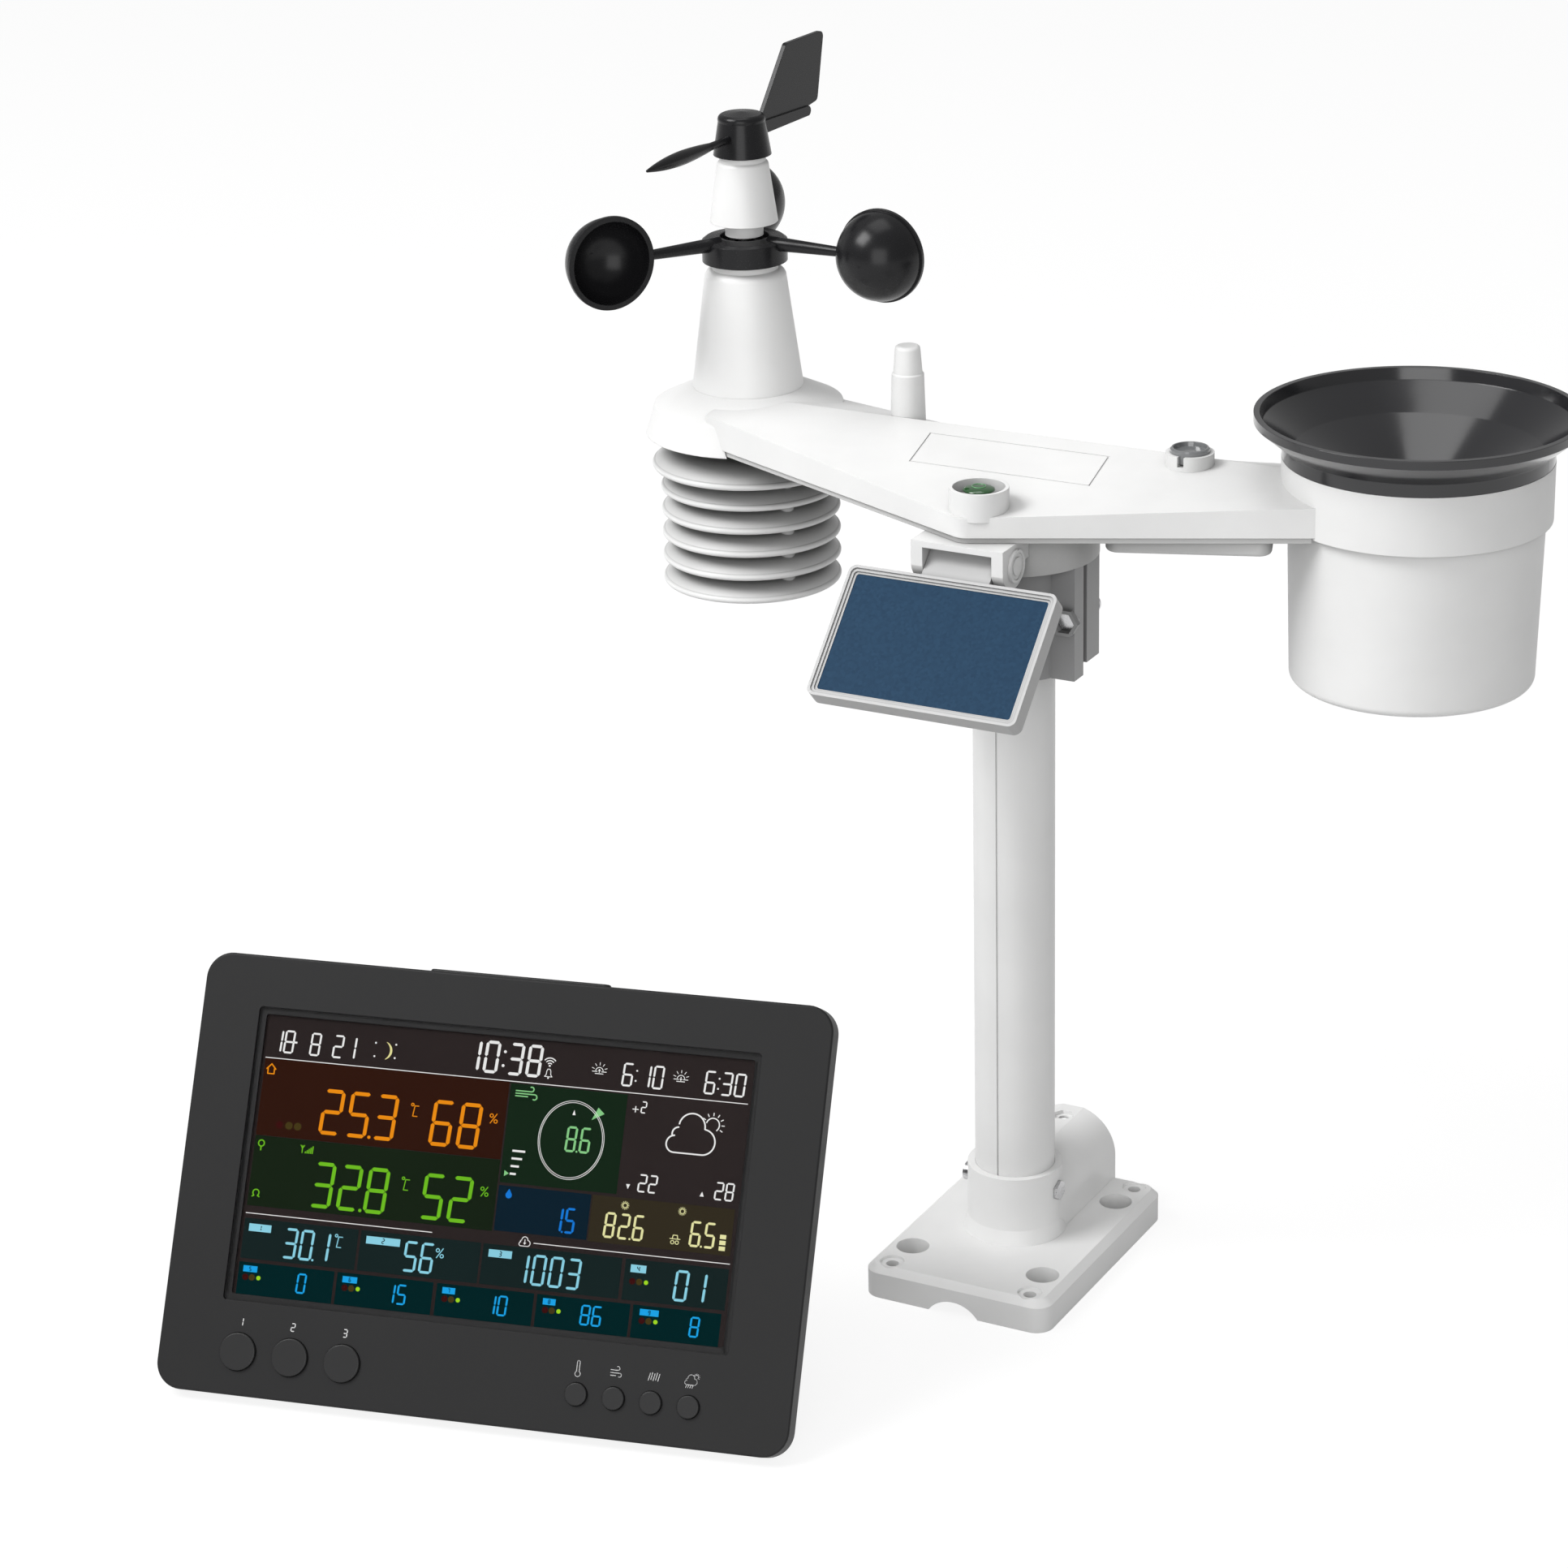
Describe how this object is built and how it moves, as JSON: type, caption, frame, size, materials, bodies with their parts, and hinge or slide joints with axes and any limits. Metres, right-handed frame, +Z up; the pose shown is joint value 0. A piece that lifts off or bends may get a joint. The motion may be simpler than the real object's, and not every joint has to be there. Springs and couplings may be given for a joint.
{
  "type": "home weather station",
  "caption": "Pole-mounted outdoor weather sensors with wind cups, vane, rain gauge, louvred shield and tilting solar panel, and a reclined desk display console.",
  "frame": {"origin": "on the ground at the middle of the base plate's bolt patterns, under the pole's axis", "axes": "+Z up along the pole, +Y towards the back along the base plate's long side, +X towards the rain gauge"},
  "size_m": [0.4567, 0.3596, 0.453],
  "materials": {
    "white_plastic": "fine satin",
    "black_gloss": "polished",
    "charcoal_plastic": "fine satin",
    "key_plastic": "smooth satin",
    "stainless_steel": "bright",
    "solar_cell": "smooth under clear resin",
    "circuit_board": "solder mask",
    "vial_green": "clear coloured",
    "lens_grey": "diffusing",
    "magnet": "plated",
    "battery_can": "plain wrap",
    "display_glass": "polished",
    "clear_window": "clear"
  },
  "bodies": {
    "mast": {"base_plate": "white_plastic", "pole": "white_plastic", "pole_bolt": "stainless_steel", "clamp_front": "white_plastic", "clamp_rear": "white_plastic", "clamp_screws": "stainless_steel", "arm_top_case": "white_plastic", "arm_bottom_case": "white_plastic", "case_screws": "stainless_steel", "antenna": "white_plastic", "level_vial": "vial_green", "light_lens": "lens_grey", "wind_tower": "white_plastic", "tower_post": "stainless_steel", "wind_bearings": "stainless_steel", "upper_cone": "white_plastic", "louvre_top": "white_plastic", "louvre_stack": "white_plastic", "louvre_rods": "stainless_steel", "sensor_board": "circuit_board", "main_board": "circuit_board", "battery_cells": "battery_can", "rain_bucket": "white_plastic", "tipper_cradle": "white_plastic", "tipper_pin": "stainless_steel", "reed_board": "circuit_board", "panel_yoke": "white_plastic", "panel_pin": "white_plastic"},
    "cup_rotor": {"rotor_hub": "black_gloss", "rotor_magnet": "magnet", "wind_cup_1": "black_gloss", "wind_cup_2": "black_gloss", "wind_cup_3": "black_gloss"},
    "wind_vane": {"vane_hub": "black_gloss", "vane_tail": "black_gloss", "vane_pointer": "black_gloss", "vane_magnet": "magnet"},
    "solar_panel": {"panel_frame": "white_plastic", "panel_cell": "solar_cell"},
    "rain_tipper": {"tipping_bucket": "white_plastic"},
    "funnel": {"rain_funnel": "black_gloss"},
    "cell_cover": {"battery_door": "white_plastic"},
    "console": {"console_front": "charcoal_plastic", "console_back": "charcoal_plastic", "console_window": "clear_window", "console_display": "display_glass", "console_board": "circuit_board", "coin_cell": "stainless_steel", "power_jack": "key_plastic"},
    "console_leg": {"stand_leg": "charcoal_plastic"},
    "coin_cover": {"cell_door": "charcoal_plastic"},
    "snooze_bar": {"snooze_key": "key_plastic"},
    "key_round_1": {"round_key_1": "key_plastic"},
    "key_round_2": {"round_key_2": "key_plastic"},
    "key_round_3": {"round_key_3": "key_plastic"},
    "key_small_1": {"small_key_1": "key_plastic"},
    "key_small_2": {"small_key_2": "key_plastic"},
    "key_small_3": {"small_key_3": "key_plastic"},
    "key_small_4": {"small_key_4": "key_plastic"}
  },
  "joints": [
    {"name": "rotor_spin", "type": "hinge", "parent": "mast", "child": "cup_rotor", "pos_m": [-0.1379, 0.0505, 0.378], "axis": [0, 0, 1], "continuous": true},
    {"name": "vane_turn", "type": "hinge", "parent": "mast", "child": "wind_vane", "pos_m": [-0.1379, 0.0505, 0.42], "axis": [0, 0, 1], "continuous": true},
    {"name": "panel_tilt", "type": "hinge", "parent": "mast", "child": "solar_panel", "pos_m": [0, -0.0377, 0.2996], "axis": [1, 0, 0], "range_deg": [-45, 30]},
    {"name": "tipper_rock", "type": "hinge", "parent": "mast", "child": "rain_tipper", "pos_m": [0.1379, 0.0505, 0.274], "axis": [0, 1, 0], "range_deg": [-28, 0]},
    {"name": "funnel_lift", "type": "slide", "parent": "mast", "child": "funnel", "axis": [0, 0, 1], "range_m": [0, 0.05]},
    {"name": "cell_cover_off", "type": "slide", "parent": "mast", "child": "cell_cover", "axis": [0, 0, -1], "range_m": [0, 0.02]},
    {"name": "console_place", "type": "slide", "parent": "mast", "child": "console", "axis": [0, 0, 1], "range_m": [0, 0.03]},
    {"name": "leg_fold", "type": "hinge", "parent": "console", "child": "console_leg", "pos_m": [-0.13453, -0.15738, 0.04651], "axis": [0.9744, 0.225, 0], "range_deg": [-75.39, 0]},
    {"name": "coin_cover_off", "type": "slide", "parent": "console", "child": "coin_cover", "axis": [-0.1948, 0.8438, -0.5], "range_m": [0, 0.008]},
    {"name": "snooze_press", "type": "slide", "parent": "console", "child": "snooze_bar", "axis": [0.1125, -0.4872, -0.866], "range_m": [0, 0.0008], "stiffness_N_per_m": 500},
    {"name": "round_press_1", "type": "slide", "parent": "console", "child": "key_round_1", "axis": [-0.1948, 0.8438, -0.5], "range_m": [0, 0.0008], "stiffness_N_per_m": 400},
    {"name": "round_press_2", "type": "slide", "parent": "console", "child": "key_round_2", "axis": [-0.1948, 0.8438, -0.5], "range_m": [0, 0.0008], "stiffness_N_per_m": 400},
    {"name": "round_press_3", "type": "slide", "parent": "console", "child": "key_round_3", "axis": [-0.1948, 0.8438, -0.5], "range_m": [0, 0.0008], "stiffness_N_per_m": 400},
    {"name": "small_press_1", "type": "slide", "parent": "console", "child": "key_small_1", "axis": [-0.1948, 0.8438, -0.5], "range_m": [0, 0.0008], "stiffness_N_per_m": 400},
    {"name": "small_press_2", "type": "slide", "parent": "console", "child": "key_small_2", "axis": [-0.1948, 0.8438, -0.5], "range_m": [0, 0.0008], "stiffness_N_per_m": 400},
    {"name": "small_press_3", "type": "slide", "parent": "console", "child": "key_small_3", "axis": [-0.1948, 0.8438, -0.5], "range_m": [0, 0.0008], "stiffness_N_per_m": 400},
    {"name": "small_press_4", "type": "slide", "parent": "console", "child": "key_small_4", "axis": [-0.1948, 0.8438, -0.5], "range_m": [0, 0.0008], "stiffness_N_per_m": 400}
  ]
}
